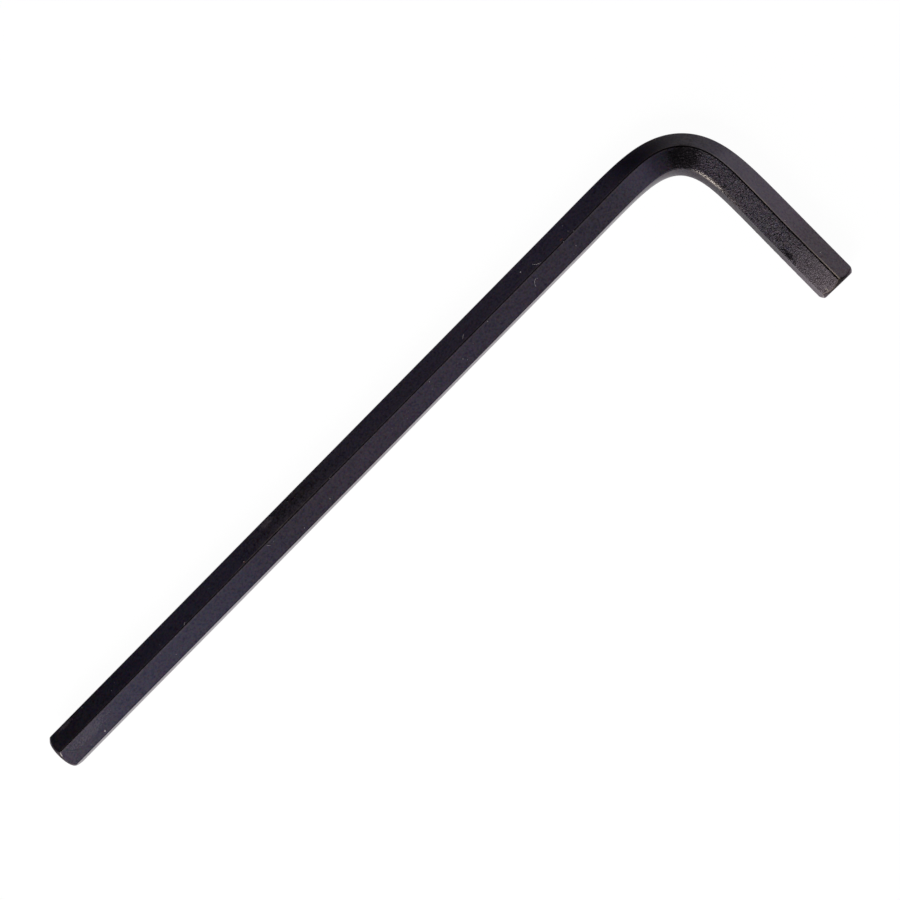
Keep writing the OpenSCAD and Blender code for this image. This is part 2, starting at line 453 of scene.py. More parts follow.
# %% Tree, the end: store the bar's millimetres, close the tips, set size and material
weld_distance = 0.0005
named = add(tree, "GeometryNodeStoreNamedAttribute", {
    "Geometry": grained, "Name": "bar_place", "Value": bar_place}, data_type="FLOAT_VECTOR", domain="POINT")
closed = add(tree, "GeometryNodeMergeByDistance", {"Geometry": named, "Distance": weld_distance})
smooth = add(tree, "GeometryNodeSetShadeSmooth", {"Geometry": closed})
in_metres = add(tree, "GeometryNodeTransform", {"Geometry": smooth, "Scale": (MM, MM, MM)})
realized = add(tree, "GeometryNodeRealizeInstances", [in_metres])
painted = add(tree, "GeometryNodeSetMaterial", {"Geometry": realized, "Material": given["Material"]})
add(tree, "NodeGroupOutput", [painted])
print("nodes in all:", len(tree.nodes))

# %% [markdown]
# ## The black oxide
# Hot blacking turns the outer thousandth of a millimetre of the steel into black iron oxide, which is
# then sealed with oil. The oil makes it a smooth, dark, faintly violet skin that reflects as a clear
# coat does and not as bare metal, so the material is a dielectric. Its metallic share has two uses:
# over a pale colour it shows bare steel, and over a nearly black one it takes the reflection away.
# Everything is placed in the bar's own millimetres: along the bar, to the outside of the bend, and up.

# %% Material: places on the bar
steel = bpy.data.materials.new("black_oxide_steel")
steel.use_nodes = True
oxide = steel.node_tree
skin = oxide.nodes["Principled BSDF"]
on_bar = add(oxide, "ShaderNodeAttribute", attribute_name="bar_place").outputs["Vector"]
mm_along, mm_side, mm_up = add(oxide, "ShaderNodeSeparateXYZ", [on_bar]).outputs
from_short_tip = add(oxide, "ShaderNodeMath", [bar_length, mm_along], operation="SUBTRACT")
on_slope = add(oxide, "ShaderNodeMapRange", {"Value": mm_up, "From Min": 1.45, "From Max": 1.72})
inner_side = add(oxide, "ShaderNodeMapRange", {"Value": mm_side, "From Min": 0.05, "From Max": -0.15})
past_bend = add(oxide, "ShaderNodeMapRange", {
    "Value": mm_along, "From Min": long_straight + 0.75 * half_way,
    "From Max": long_straight + 1.15 * half_way}, interpolation_type="SMOOTHSTEP")
on_long = add(oxide, "ShaderNodeMath", [1.0, past_bend], operation="SUBTRACT")
tip_distance = add(oxide, "ShaderNodeMath", [mm_along, from_short_tip], operation="MINIMUM")
around = add(oxide, "ShaderNodeVectorMath", [on_bar, (0, 1, 1)], operation="MULTIPLY")
reach = add(oxide, "ShaderNodeVectorMath", [around], operation="LENGTH").outputs["Value"]
past_rim = add(oxide, "ShaderNodeMath", [
    add(oxide, "ShaderNodeMath", [tip_distance, math.sqrt(0.5), tip_face_radius], operation="MULTIPLY_ADD"),
    reach], operation="SUBTRACT")
off_chamfer = add(oxide, "ShaderNodeMapRange", {"Value": past_rim, "From Min": 0.0, "From Max": 0.1})
pebbly = add(oxide, "ShaderNodeMath", [
    add(oxide, "ShaderNodeMath", [past_bend, inner_side], operation="MULTIPLY"), off_chamfer],
    operation="MULTIPLY")
print("material nodes for places:", len(oxide.nodes))

# %% [markdown]
# Noise gives every uneven thing on the skin, and its scale is a count of grains on each millimetre.
# Real oxide crystals are a thousandth of a millimetre wide, too fine to show, so crystals and
# speckle are drawn about a third of a millimetre wide, as coarse as the photograph's own grain. The
# drawn grain is the die's: long lines along the bar, about half a millimetre apart.

# %% Material: patterns
drawn_way = add(oxide, "ShaderNodeVectorMath", [on_bar, (0.12, 1, 1)], operation="MULTIPLY")
patterns = {
    "mottle": {"Scale": 0.9, "Detail": 4.0, "Roughness": 1.0},
    "speckle": {"Scale": 3.2, "Detail": 1.0, "Roughness": 1.0},
    "thickness": {"Scale": 1.1, "Detail": 4.0, "Roughness": 1.0, "Distortion": 0.2},
    "crystals": {"Scale": 2.8, "Detail": 1.0},
    "clumps": {"Scale": 1.0, "Detail": 1.0},
    "pit_grain": {"Scale": 4.2, "Detail": 2.0, "Roughness": 0.8, "Distortion": 0.5},
    "cloud": {"Scale": 0.16, "Detail": 2.0},
    "drawn": {"Vector": drawn_way, "Scale": 2.2, "Detail": 2.0},
    "grain": {"Scale": 5.0, "Detail": 3.0},
}
noise = {}
for name, settings in patterns.items():
    noise[name] = add(oxide, "ShaderNodeTexNoise", {"Vector": on_bar, **settings})
print("patterns:", ", ".join(noise))

# %% [markdown]
# The tank, the oil and the daylight of years leave no even colour. The long arm drifts between blue
# and violet black, each slope in its own way, and the short arm, which the hand holds, is browner.
# A fine mottling of all three primary colours lies over it, because the skin is a mass of crystals.

# %% Material: colour of the skin, by place along the bar in millimetres
inner_drift = {0: "#1f1c2e", 12: "#151730", 26: "#131730", 40: "#12132c", 48: "#0b0822", 62: "#170e23",
               83: "#19132a", 97: "#100923", 121: "#06031e", 127: "#322e40", 132: "#121018", 137: "#28232e",
               142: "#1e1a25", 149: "#231e28", 155: "#100d18"}
outer_drift = {0: "#19151f", 12: "#130f22", 26: "#17142a", 40: "#0e0826", 48: "#080018", 54: "#04000c",
               62: "#0a0120", 97: "#0f0626", 112: "#120a2a", 125: "#080120", 133: "#08060c", 139: "#3a3444",
               152: "#362a3a", 157: "#241622"}
# The side flats' colours are painted reflection and shade: pale lavender on the long arm for the floor's
# glow in them, and dark from the bend on, where the floor beside them is shaded.
flat_painted_reflection = {0: "#584a54", 112: "#584a54", 124: "#1c0e1e", 142: "#120716", 151: "#160d18", 155: "#1e1620",
              158: "#2e2031", 163: "#4a3d50"}


def fill_ramp(ramp, colours):
    """Gives a colour ramp its stops, from a dict of places between 0 and 1 and their colours."""
    stops = ramp.color_ramp.elements
    stops.remove(stops[1])
    for number, (place, colour) in enumerate(colours.items()):
        stop = stops[0] if number == 0 else stops.new(place)
        stop.position = place
        stop.color = colour


def drift_along(drift_colours):
    """Colours that change along the bar, given as a place in millimetres and a colour."""
    ramp = add(oxide, "ShaderNodeValToRGB", [
        add(oxide, "ShaderNodeMath", [mm_along, bar_length], operation="DIVIDE")])
    fill_ramp(ramp, {mm / bar_length: linear(colour) for mm, colour in drift_colours.items()})
    return ramp


sideways_flat = add(oxide, "ShaderNodeMapRange", {"Value": on_slope, "To Min": 1.0, "To Max": 0.0})
colour = drift_along(outer_drift)
for share, drift_colours in ((inner_side, inner_drift), (sideways_flat, flat_painted_reflection)):
    colour = add(oxide, "ShaderNodeMix", {0: share, 6: colour, 7: drift_along(drift_colours)},
                 data_type="RGBA").outputs[2]
for name, strength in (("mottle", 0.03), ("speckle", 0.068)):
    off_middle = add(oxide, "ShaderNodeVectorMath", [noise[name].outputs["Color"], (0.5, 0.5, 0.5)],
                     operation="SUBTRACT")
    colour = add(oxide, "ShaderNodeVectorMath", [off_middle, (strength, 0.6 * strength, strength), colour],
                 operation="MULTIPLY_ADD")
colour = add(oxide, "ShaderNodeVectorMath", [colour, (0, 0, 0)], operation="MAXIMUM")
print("colours along the bar:", len(inner_drift) + len(outer_drift) + len(flat_painted_reflection))

# %% [markdown]
# Use, heat and dirt leave single marks: the bare streak at the inside of the bend, where the steel
# was squeezed hardest, soot around it, a nick, haze, scuffs, rust and oil. Each is a soft patch with
# a ragged edge on one of the two upper slopes, placed where the photograph has it.

# %% Material: marks


def patch(middle, side, half_length, half_width, ragged):
    """A soft patch on the bar's upper slopes: 1 in the middle, fading to 0 with a ragged edge."""
    ways = add(oxide, "ShaderNodeCombineXYZ", [
        add(oxide, "ShaderNodeMath", [mm_along, 1 / half_length, -middle / half_length],
            operation="MULTIPLY_ADD"),
        add(oxide, "ShaderNodeMath", [mm_side, 1 / half_width, -side / half_width],
            operation="MULTIPLY_ADD"), 0.0])
    squared = add(oxide, "ShaderNodeVectorMath", [ways, ways], operation="DOT_PRODUCT")
    torn = add(oxide, "ShaderNodeMath", [
        add(oxide, "ShaderNodeMath", [noise["grain"], 0.5], operation="SUBTRACT"), 4 * ragged,
        squared.outputs["Value"]], operation="MULTIPLY_ADD")
    soft = add(oxide, "ShaderNodeMapRange", {"Value": torn, "From Min": 1.0, "From Max": 0.0},
               interpolation_type="SMOOTHSTEP")
    return add(oxide, "ShaderNodeMath", [soft, on_slope], operation="MULTIPLY")


mark = {
    "streak": patch(long_straight + 1.27 * half_way, -2.86, 4.1, 0.2, ragged=0.9),
    "streak_halo": patch(long_straight + 1.42 * half_way, -2.75, 5.2, 0.38, ragged=1.3),
    "soot": patch(long_straight + 1.02 * half_way, -1.35, 3.5, 2.3, ragged=0.5),
    # The patch on the outer slope before the bend is painted shade: it dulls the reflection there so that
    # the slope looks darker.
    "outer_bend_shade": patch(127.6, 1.4, 6.2, 2.2, ragged=0.4),
    "nick": patch(bar_length - 0.95, -2.15, 0.3, 0.2, ragged=0.8),
    "oil": patch(bar_length - 8.6, -2.5, 1.4, 0.45, ragged=1.2),
    "haze": patch(52.5, 0.55, 8.0, 0.7, ragged=1.3),
    "worn": patch(52.0, 1.3, 13.0, 2.2, ragged=0.5),
    "worn_ridge": patch(51.0, 0.3, 14.0, 1.0, ragged=1.0),
    "scuff": patch(47.9, 2.3, 1.3, 0.6, ragged=1.2),
    "tip_scuff": patch(3.9, 2.5, 1.4, 0.3, ragged=1.5),
    "rust": patch(41.5, 0.4, 0.22, 0.18, ragged=0.5),
    "second_rust": patch(110.7, 0.46, 0.4, 0.14, ragged=0.6),
    "bloom": patch(6.0, -0.9, 4.0, 0.8, ragged=2.0),
    "glint": patch(0.7, -0.35, 0.6, 0.5, ragged=0.3),
}
scuffs = add(oxide, "ShaderNodeMath", [mark["scuff"], mark["tip_scuff"]], operation="MAXIMUM")
rust = add(oxide, "ShaderNodeMath", [mark["rust"], mark["second_rust"]], operation="MAXIMUM")
sooted = add(oxide, "ShaderNodeMapRange", {"Value": mark["soot"], "From Min": 0.05, "From Max": 0.8,
                                           "To Max": 0.9})
print("marks:", ", ".join(mark))

# %% [markdown]
# Sockets and fingers rub the oxide thin where the bar stands proud. The top ridge's crest is painted dark,
# a painted shade that deepens the dark line the room draws there. Close beside it runs a pale line, partly
# worn oxide and partly a painted highlight, which is faint on the long arm, clear where the hand holds
# the short arm and strong at its tip. The drawn grain breaks the line up.

# %% Material: painted shade on the top ridge and a pale line beside it
on_handle = add(oxide, "ShaderNodeMapRange", {"Value": mm_along, "From Min": 136.0, "From Max": 141.0})
near_tip = add(oxide, "ShaderNodeMapRange", {"Value": from_short_tip, "From Min": 10.0, "From Max": 0.0,
                                             "To Max": 0.8})
off_ridge = add(oxide, "ShaderNodeMath", [mm_side], operation="ABSOLUTE")
# Painted shade: the crest, the ridge's top, is coloured dark to deepen its dark line.
crest = add(oxide, "ShaderNodeMapRange", {"Value": off_ridge, "From Min": 0.15, "From Max": 0.08})
long_crest_painted_shade = add(oxide, "ShaderNodeMath", [crest, on_long], operation="MULTIPLY")
short_crest_painted_shade = add(oxide, "ShaderNodeMath", [crest, past_bend], operation="MULTIPLY")
# The pale line beside the ridge is partly worn oxide and partly a painted highlight.
beside_ridge = add(oxide, "ShaderNodeMath", [
    add(oxide, "ShaderNodeMath", [off_ridge, 0.2], operation="SUBTRACT")], operation="ABSOLUTE")
line_mask = add(oxide, "ShaderNodeMapRange", {"Value": beside_ridge, "From Min": 0.12, "From Max": 0.04})
rubbed = add(oxide, "ShaderNodeMapRange", {"Value": noise["drawn"], "From Min": 0.42, "From Max": 0.6,
                                           "To Min": 0.55})
long_share = add(oxide, "ShaderNodeMath", [mark["worn_ridge"], 0.12, 0.04], operation="MULTIPLY_ADD")
handle_share = add(oxide, "ShaderNodeMath", [on_handle, 0.28, long_share], operation="MULTIPLY_ADD")
line_share = add(oxide, "ShaderNodeMath", [
    add(oxide, "ShaderNodeMath", [near_tip, near_tip], operation="MULTIPLY"), 1.2, handle_share],
    operation="MULTIPLY_ADD")
outer_line = add(oxide, "ShaderNodeMath", [
    add(oxide, "ShaderNodeMath", [line_share, rubbed], operation="MULTIPLY"),
    add(oxide, "ShaderNodeMath", [1.0, inner_side], operation="SUBTRACT")], operation="MULTIPLY")
inner_line = add(oxide, "ShaderNodeMath", [on_long, inner_side], operation="MULTIPLY")
both_lines = add(oxide, "ShaderNodeMath", [inner_line, 0.035, outer_line], operation="MULTIPLY_ADD")
ridge_wear_and_highlight = add(oxide, "ShaderNodeMath", [line_mask, both_lines], operation="MULTIPLY")
print("material nodes so far:", len(oxide.nodes))

# %% [markdown]
# The short tip goes into sockets, so its inner slope is rubbed pale and the rim of its chamfer is
# worn. The turned cone and the end face are duller than the drawn flats. The long tip's rim has one
# bright glint.

# %% Material: wear at the tips
tip_grain = add(oxide, "ShaderNodeMapRange", {"Value": noise["grain"], "From Min": 0.3, "From Max": 0.65,
                                              "To Min": 0.4, "To Max": 1.4})
tip_wear = add(oxide, "ShaderNodeMath", [
    near_tip, add(oxide, "ShaderNodeMath", [inner_side, tip_grain], operation="MULTIPLY")],
    operation="MULTIPLY")
off_rim = add(oxide, "ShaderNodeMath", [past_rim], operation="ABSOLUTE")
rim = add(oxide, "ShaderNodeMapRange", {"Value": off_rim, "From Min": 0.09, "From Max": 0.02})
rim_share = add(oxide, "ShaderNodeMapRange", {"Value": noise["drawn"], "From Min": 0.35, "From Max": 0.6,
                                              "To Min": 0.2, "To Max": 0.65})
rim_wear = add(oxide, "ShaderNodeMath", [
    add(oxide, "ShaderNodeMath", [rim, rim_share], operation="MULTIPLY"),
    add(oxide, "ShaderNodeMath", [past_bend, inner_side], operation="MULTIPLY")], operation="MULTIPLY")
bare = add(oxide, "ShaderNodeMath", [rim, mark["glint"]], operation="MULTIPLY")
for name in ("streak", "nick"):
    bare = add(oxide, "ShaderNodeMath", [bare, mark[name]], operation="MAXIMUM")
cone = add(oxide, "ShaderNodeMath", [
    add(oxide, "ShaderNodeMapRange", {"Value": past_rim, "From Min": -0.02, "From Max": -0.1}),
    add(oxide, "ShaderNodeMapRange", {"Value": reach, "From Min": 2.0, "From Max": 1.0})],
    operation="MAXIMUM")
# Painted light and shade: the cone's inner half, which faces the lamps, is painted paler than its outer
# half.
cone_lit_and_shaded_colour = add(oxide, "ShaderNodeMix", {0: inner_side, 6: linear("#2e2b2a"), 7: linear("#3a3432")},
                  data_type="RGBA").outputs[2]
print("material nodes so far:", len(oxide.nodes))

# %% [markdown]
# The pebbly inner slope of the short arm holds its dirt in dark pits a quarter of a millimetre wide,
# between tops that are rubbed paler. The pits stand closer in clumps, in the soot and under the oil,
# and thin out towards the tip.

# %% Material: pits
clumpy = add(oxide, "ShaderNodeMath", [noise["clumps"], 0.24, 0.31], operation="MULTIPLY_ADD")
sooty = add(oxide, "ShaderNodeMath", [mark["soot"], 0.05, clumpy], operation="MULTIPLY_ADD")
pit_depth = add(oxide, "ShaderNodeMath", [mark["oil"], 0.18, sooty], operation="MULTIPLY_ADD")
pit_share = add(oxide, "ShaderNodeMapRange", {
    "Value": add(oxide, "ShaderNodeMath", [noise["pit_grain"], pit_depth], operation="SUBTRACT"),
    "From Min": 0.06, "From Max": -0.06})
pitted = add(oxide, "ShaderNodeMath", [
    add(oxide, "ShaderNodeMath", [pebbly, on_slope], operation="MULTIPLY"),
    add(oxide, "ShaderNodeMapRange", {"Value": near_tip, "From Max": 0.8, "To Min": 0.9, "To Max": 0.45})],
    operation="MULTIPLY")
pits = add(oxide, "ShaderNodeMath", [pit_share, pitted], operation="MULTIPLY")
high_grain = add(oxide, "ShaderNodeMapRange", {"Value": noise["pit_grain"], "From Min": 0.5,
                                               "From Max": 0.66, "To Max": 0.5})
pebble_tops = add(oxide, "ShaderNodeMath", [high_grain, pebbly], operation="MULTIPLY")
print("material nodes so far:", len(oxide.nodes))

# %% [markdown]
# The layers go on in the order in which they came to the bar, each with a mask, a strength and a
# colour. Bare steel is last, since nothing covers it.

# %% Material: layers of colour
layers = [
    (mark["bloom"], 0.15, "#8a8088"),
    (tip_wear, 1.0, "#64595c"),
    (scuffs, 0.55, "#5c545a"),
    (rust, 1.0, "#5e3026"),
    (mark["haze"], 0.3, "#4c4350"),
    (sooted, 1.0, "#0b0a0c"),
    # Painted shade darkens the ridge's crest; the pale line beside it is partly wear and partly a painted
    # highlight.
    (long_crest_painted_shade, 1.0, "#1b151b"),
    (short_crest_painted_shade, 1.0, "#070606"),
    (ridge_wear_and_highlight, 1.0, "#b5a48c"),
    (pebble_tops, 1.0, "#4a4446"),
    (mark["streak_halo"], 0.5, "#5f554e"),
    (pits, 1.0, "#060506"),
    (cone, 1.0, cone_lit_and_shaded_colour),
    (rim_wear, 1.0, "#8f7f72"),
    (bare, 1.0, "#968e87"),
]
for mask, strength, over in layers:
    share = add(oxide, "ShaderNodeMath", [mask, strength], operation="MULTIPLY")
    over = linear(over) if isinstance(over, str) else over
    colour = add(oxide, "ShaderNodeMix", {0: share, 6: colour, 7: over}, data_type="RGBA").outputs[2]
oxide.links.new(colour, skin.inputs["Base Color"])
print("layers:", len(layers))

# %% [markdown]
# The metallic share shows bare steel where the colour is pale. Everywhere else the colour is nearly
# black, so a metallic share only dulls: in pits, in soot, on the turned cone, and in the fine mottling
# of the skin, which stands out most where the skin is worn. On the short arm's crest and on the outer
# slope before the bend, the dulling is painted shade.

# %% Material: bare and dull places
swing = add(oxide, "ShaderNodeMath", [mark["worn"], 2.7, 1.15], operation="MULTIPLY_ADD")
dullness = add(oxide, "ShaderNodeMath", [mark["worn"], 0.15, 0.12], operation="MULTIPLY_ADD")
coarse = add(oxide, "ShaderNodeMath", [
    add(oxide, "ShaderNodeMath", [noise["thickness"], 0.5], operation="SUBTRACT"), swing, dullness],
    operation="MULTIPLY_ADD")
thin_skin = add(oxide, "ShaderNodeMath", [
    add(oxide, "ShaderNodeMath", [noise["crystals"], 0.5], operation="SUBTRACT"), 1.45, coarse],
    operation="MULTIPLY_ADD", use_clamp=True)
metal = bare
# The outer slope's patch before the bend and the short arm's crest are painted shade here.
for mask, strength in ((pits, 1.0), (cone, 0.8), (thin_skin, 1.0), (sooted, 0.9),
                       (mark["outer_bend_shade"], 0.5), (short_crest_painted_shade, 0.85)):
    metal = add(oxide, "ShaderNodeMath", [
        metal, add(oxide, "ShaderNodeMath", [mask, strength], operation="MULTIPLY")], operation="MAXIMUM")
oxide.links.new(metal.outputs[0], skin.inputs["Metallic"])
print("material nodes so far:", len(oxide.nodes))

# %% [markdown]
# The oil film sets the gloss. It lies uneven, so roughness drifts a little. Under it, the fine tooth of
# the blacked steel is a bump of a few hundredths of a millimetre at most. An oil film reflects as
# plastic does, with an IOR of 1.5, and the oxide below lends the reflection a trace of violet.

# %% Material: gloss and tooth
gloss_drift = add(oxide, "ShaderNodeMapRange", {"Value": noise["cloud"], "From Min": 0.3, "From Max": 0.7,
                                                "To Min": 0.28, "To Max": 0.33})
matter = add(oxide, "ShaderNodeMath", [mark["haze"], 0.1, gloss_drift], operation="MULTIPLY_ADD")
grimy = add(oxide, "ShaderNodeMath", [mark["oil"], 0.4, matter], operation="MULTIPLY_ADD")
rough_flat = add(oxide, "ShaderNodeMath", [pebbly, add(oxide, "ShaderNodeMapRange", {
    "Value": on_slope, "To Min": 0.25, "To Max": 0.0})], operation="MULTIPLY")
ridge = add(oxide, "ShaderNodeMapRange", {"Value": reach, "From Min": 3.37, "From Max": 3.4, "To Max": 0.1})
rough_cone = add(oxide, "ShaderNodeMath", [cone, 0.15, grimy], operation="MULTIPLY_ADD")
rougher = add(oxide, "ShaderNodeMath", [rough_cone, rough_flat], operation="ADD")
roughness = add(oxide, "ShaderNodeMath", [rougher, ridge], operation="SUBTRACT")
oxide.links.new(roughness.outputs[0], skin.inputs["Roughness"])
tooth_share = add(oxide, "ShaderNodeMapRange", {"Value": pebbly, "To Min": 0.05, "To Max": 1.0})
tooth = add(oxide, "ShaderNodeMath", [noise["grain"], tooth_share], operation="MULTIPLY")
bump = add(oxide, "ShaderNodeBump", {"Strength": 1.0, "Distance": 0.1 * MM, "Height": tooth})
oxide.links.new(bump.outputs[0], skin.inputs["Normal"])
skin.inputs["IOR"].default_value = 1.5
skin.inputs["Specular Tint"].default_value = (1.0, 0.87, 1.0, 1.0)
print("material nodes:", len(oxide.nodes))

# %% [markdown]
# Tree and material are ready, so the modifier can grow the bar. Its inputs are set by their
# identifiers before the bar is first evaluated, and the result becomes a plain mesh.

# %% Grow the bar and turn it into a plain mesh
grow = bar.modifiers.new("hexagon_bar", "NODES")
grow.node_group = tree
for item in tree.interface.items_tree:
    if item.in_out == "INPUT" and item.name in tree_inputs:
        grow[item.identifier] = float(tree_inputs[item.name])
    elif item.in_out == "INPUT" and item.name == "Material":
        grow[item.identifier] = steel
mesh = bpy.data.meshes.new_from_object(bar.evaluated_get(bpy.context.evaluated_depsgraph_get()))
bar.modifiers.remove(grow)
bar.data = mesh
mesh.calc_loop_triangles()
for triangle in mesh.loop_triangles:
    a, b, c = (mesh.vertices[i].co / MM for i in triangle.vertices)
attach(bar, "root")
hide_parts("hex_key")

# %% [markdown]
# ## Dust and lint
# The key lay about, so some dust sits in its oil, and a few fibres of lint cling to it. The grains and
# fibres that stand out in the photograph are listed one by one, and a seeded draw adds smaller grains
# over the long arm. Geometry Nodes put a pebble of random form on each place. The fibres are
# hair-thin tubes along short curves. All of it is cotton and grit: pale, matt and without gloss.

# %% Places on the upper slopes
bend_end = Vector((long_straight + spot.x, spot.y))
short_way = Vector((math.cos(bend_angle), -math.sin(bend_angle)))
short_out = Vector((math.sin(bend_angle), math.cos(bend_angle)))


def on_slope_at(along_mm, side_mm, lift=0.0):
    """A point in metres on the bar's upper side, on either arm. The bend counts to the nearer arm."""
    flat = Vector((along_mm, side_mm))
    if along_mm > long_straight + half_way:
        flat = bend_end + (along_mm - bar_length + short_straight) * short_way + side_mm * short_out
    return Vector((*flat, (half_flats - abs(side_mm) / 2) / math.cos(slant) + lift)) * MM


# %% Dust: grains by place along and to the side, with their radii
crumbs = {
    (7.7, -2.46): 0.19, (41.5, 0.46): 0.06, (51.6, -2.43): 0.08, (57.6, -2.06): 0.07,
    (81.1, -0.42): 0.07, (87.2, -1.58): 0.06, (87.6, -2.13): 0.06, (93.9, -0.3): 0.06,
    (102.8, 1.49): 0.09, (110.6, -0.05): 0.06, (112.3, 0.67): 0.05, (112.9, -0.05): 0.065,
    (111.6, -1.73): 0.06, (bar_length - 3.35, -1.66): 0.1, (bar_length - 5.5, 0.99): 0.07,
    (bar_length - 12.7, 0.55): 0.06,
}
drawn_grains = 26
chance = random.Random(11)
for i in range(drawn_grains):
    along_mm = chance.uniform(3, long_straight)
    crumbs[along_mm, chance.uniform(-2.8, 2.8)] = chance.uniform(0.02, 0.045)
dust_mesh = bpy.data.meshes.new("dust_flecks")
dust_mesh.from_pydata([on_slope_at(*at, lift=0.2 * size) for at, size in crumbs.items()], [], [])
dust_mesh.attributes.new("grain_size", "FLOAT", "POINT").data.foreach_set(
    "value", [size * MM for size in crumbs.values()])
dust = bpy.data.objects.new("dust_flecks", dust_mesh)
bpy.context.scene.collection.objects.link(dust)
print("dust grains:", len(crumbs))

# %% Material of dust and lint
lint_grey = bpy.data.materials.new("lint")
lint_grey.use_nodes = True
lint_skin = lint_grey.node_tree.nodes["Principled BSDF"]
lint_skin.inputs["Base Color"].default_value = linear("#b5afb2")
lint_skin.inputs["Roughness"].default_value = 0.8

# %% Tree that puts a pebble on each place
dusting = bpy.data.node_groups.new("dusting", "GeometryNodeTree")
for way, name, kind in (("OUTPUT", "Geometry", "Geometry"), ("INPUT", "Geometry", "Geometry"),
                        ("INPUT", "Seed", "Int"), ("INPUT", "Material", "Material")):
    dusting.interface.new_socket(name, in_out=way, socket_type="NodeSocket" + kind)
given = add(dusting, "NodeGroupInput").outputs
grain_size = add(dusting, "GeometryNodeInputNamedAttribute", {"Name": "grain_size"}, data_type="FLOAT")
form = add(dusting, "FunctionNodeRandomValue", {0: (0.7, 0.7, 0.5), 1: (1.3, 1.0, 0.8), 8: given["Seed"]},
           data_type="FLOAT_VECTOR")
turn = add(dusting, "FunctionNodeRandomValue", {1: (0.4, 0.4, 2 * math.pi), 8: given["Seed"]},
           data_type="FLOAT_VECTOR")
grain_scale = add(dusting, "ShaderNodeVectorMath", {"Vector": form, "Scale": grain_size}, operation="SCALE")
pebble = add(dusting, "GeometryNodeMeshIcoSphere", {"Radius": 1.0, "Subdivisions": 2})
grains = add(dusting, "GeometryNodeInstanceOnPoints", {
    "Points": given["Geometry"], "Instance": pebble, "Rotation": turn, "Scale": grain_scale})
real_grains = add(dusting, "GeometryNodeRealizeInstances", [grains])
add(dusting, "NodeGroupOutput", [add(dusting, "GeometryNodeSetMaterial", {
    "Geometry": real_grains, "Material": given["Material"]})])
scatter = dust.modifiers.new("dusting", "NODES")
scatter.node_group = dusting
for item in dusting.interface.items_tree:
    if item.name == "Seed":
        scatter[item.identifier] = 5
    elif item.name == "Material":
        scatter[item.identifier] = lint_grey
dust_mesh = bpy.data.meshes.new_from_object(dust.evaluated_get(bpy.context.evaluated_depsgraph_get()))
dust.modifiers.remove(scatter)
dust.data = dust_mesh
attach(dust, "root")
print("dust faces:", len(dust_mesh.polygons))

# %% Lint fibres
fibres = [
    [(45.8, -0.25), (45.9, -0.45), (46.1, -0.68)],
    [(89.3, 0.55), (89.6, 0.79), (89.9, 0.95)],
    [(28.1, 0.12), (28.3, 0.3), (28.5, 0.4)],
    [(102.9, -1.76), (103.0, -1.4), (103.3, -1.04), (103.7, -0.9), (104.0, -1.05)],
    [(104.9, 1.03), (105.0, 0.8), (105.2, 0.5), (105.9, 0.2)],
]
fibre_radius = 0.02
lint_curve = bpy.data.curves.new("lint_fibres", "CURVE")
lint_curve.dimensions = "3D"
lint_curve.bevel_depth = fibre_radius * MM
lint_curve.bevel_resolution = 1
lint_curve.use_fill_caps = True
for fibre in fibres:
    strand = lint_curve.splines.new("NURBS")
    strand.points.add(len(fibre) - 1)
    strand.order_u = 3
    strand.use_endpoint_u = True
    for point, at in zip(strand.points, fibre):
        point.co = (*on_slope_at(*at, lift=fibre_radius), 1.0)
lint_line = bpy.data.objects.new("lint_line", lint_curve)
bpy.context.scene.collection.objects.link(lint_line)
lint_mesh = bpy.data.meshes.new_from_object(lint_line.evaluated_get(bpy.context.evaluated_depsgraph_get()))
bpy.data.objects.remove(lint_line)
lint = bpy.data.objects.new("lint_fibres", lint_mesh)
bpy.context.scene.collection.objects.link(lint)
lint_mesh.materials.clear()
lint_mesh.materials.append(lint_grey)
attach(lint, "root")
print("lint fibres:", len(fibres), "faces:", len(lint_mesh.polygons))

# %% [markdown]
# ## The photograph's stage
# The key lies on white paper under a few soft boxes. The paper shows itself as white to the camera and
# in reflections, and keeps a faint shadow, which a share of plain matt paper takes.

# %% Floor
floor_height = cad_low.z
floor_mesh = bpy.data.meshes.new("floor")
floor_half = 12
corners = [(-1, -1), (1, -1), (1, 1), (-1, 1)]
floor_mesh.from_pydata([(x * floor_half, y * floor_half, floor_height) for x, y in corners], [],
                       [(0, 1, 2, 3)])
floor = bpy.data.objects.new("floor", floor_mesh)
bpy.context.scene.collection.objects.link(floor)
paper = bpy.data.materials.new("white_paper")
paper.use_nodes = True
paper_tree = paper.node_tree
paper_tree.nodes.clear()
rays = add(paper_tree, "ShaderNodeLightPath").outputs
seen = rays["Is Camera Ray"]
for kind in ("Is Glossy Ray", "Is Transmission Ray"):
    seen = add(paper_tree, "ShaderNodeMath", [seen, rays[kind]], operation="MAXIMUM").outputs[0]
white_share = 0.965
paper_white = 0.8
shadow_share = 0.08
glow = add(paper_tree, "ShaderNodeEmission", {"Color": (1, 1, 1, 1), "Strength": add(
    paper_tree, "ShaderNodeMath", [seen, white_share], operation="MULTIPLY").outputs[0]})
matt_share = add(paper_tree, "ShaderNodeMapRange", {"Value": seen, "To Min": paper_white,
                                                   "To Max": shadow_share})
matt = add(paper_tree, "ShaderNodeBsdfDiffuse", {"Color": matt_share.outputs[0]})
add(paper_tree, "ShaderNodeOutputMaterial", [add(paper_tree, "ShaderNodeAddShader", [glow, matt])])
floor_mesh.materials.append(paper)

# %% [markdown]
# The camera stands almost straight above the key and is rolled by about half a right angle. Its place
# and its lens were fitted to the straight edges of both arms in the photograph.

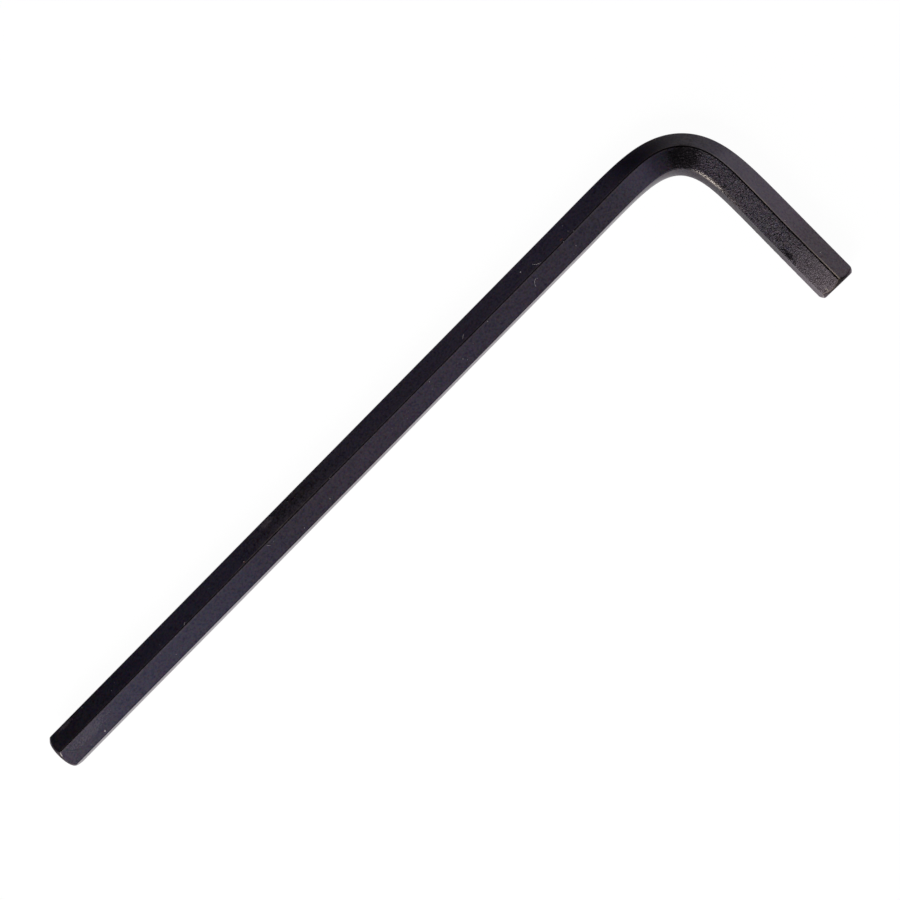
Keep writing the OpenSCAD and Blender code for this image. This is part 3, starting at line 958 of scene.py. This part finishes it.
# %% Camera
camera_place = Vector((81.68, -32.05, 283.8)) * MM
camera_aim = Vector((75.83, -9.78, 0)) * MM
camera_roll = math.radians(44.75)
focal_length = 73.88
lens = bpy.data.cameras.new("camera")
lens.lens = focal_length
camera = bpy.data.objects.new("camera", lens)
bpy.context.scene.collection.objects.link(camera)
back = (camera_place - camera_aim).normalized()
up_hint = Vector((math.cos(camera_roll), math.sin(camera_roll), 0))
right = up_hint.cross(back).normalized()
above = back.cross(right)
camera.matrix_world = Matrix.Translation(camera_place) @ Matrix((right, above, back)).transposed().to_4x4()
bpy.context.scene.camera = camera
print("camera distance, mm:", round((camera_place - camera_aim).length / MM, 1))

# %% [markdown]
# Polished and oiled black shows little but reflections, so the lamps are most of its look. The room is
# dark overhead, which draws the thin dark line along the top ridge, and pale at the horizon.

# %% Room
world = bpy.data.worlds.new("room")
bpy.context.scene.world = world
world.use_nodes = True
room = world.node_tree
room.nodes.clear()
towards = add(room, "ShaderNodeTexCoord").outputs["Generated"]
height = add(room, "ShaderNodeSeparateXYZ", [towards]).outputs[2]
upwards = add(room, "ShaderNodeValToRGB", [height])
greys = {0.0: 0.2, 0.08: 0.05, 0.3: 0.01, 0.6: 0.0}
fill_ramp(upwards, {rise: (grey, grey, grey, 1) for rise, grey in greys.items()})
add(room, "ShaderNodeOutputWorld", [add(room, "ShaderNodeBackground", {"Color": upwards, "Strength": 1.0})])
print("greys from the horizon up:", greys)

# %% [markdown]
# Nine soft boxes stand in a ring round the key, all facing it. Azimuth 0 is along +X and 90 along +Y.
# Seen from above, each slope of the bar mirrors the side of the ring that it faces. So the boxes on
# the left tone the inner slope of the short arm, the strip in front tones that of the long arm, and
# the bright key box, which stands between them, serves both.

# %% Soft boxes: azimuth, elevation, width in metres, brightness
soft_boxes = {
    "right_box": (0, 18, 0.4, 1.7),
    "back_right_box": (24, 18, 0.2, 1.0),
    "back_box": (90, 30, 0.4, 0.5),
    "left_box": (180, 18, 0.4, 2.45),
    "front_left_box": (210, 18, 0.4, 1.6),
    "upper_left_box": (180, 42, 0.31, 1.05),
    "key_box": (210, 42, 0.31, 7.5),
    "upper_front_left_box": (240, 42, 0.31, 1.9),
    "front_strip": (285, 42, 0.62, 1.12),
}
box_height = 0.34
lamp_distance = 0.8
key_middle = Vector((0.08, -0.01, 0))
for name, (azimuth, elevation, width, brightness) in soft_boxes.items():
    light = bpy.data.lights.new(name, "AREA")
    light.shape = "RECTANGLE"
    light.size = width
    light.size_y = box_height
    light.energy = brightness * math.pi * width * box_height
    lamp = bpy.data.objects.new(name, light)
    bpy.context.scene.collection.objects.link(lamp)
    a, e = math.radians(azimuth), math.radians(elevation)
    way_out = Vector((math.cos(a) * math.cos(e), math.sin(a) * math.cos(e), math.sin(e)))
    lamp.location = key_middle + way_out * lamp_distance
    lamp.rotation_mode = "QUATERNION"
    lamp.rotation_quaternion = way_out.to_track_quat("Z", "Y")
    lamp.visible_camera = False
bpy.context.scene.view_settings.view_transform = "Standard"
print("soft boxes:", len(soft_boxes))
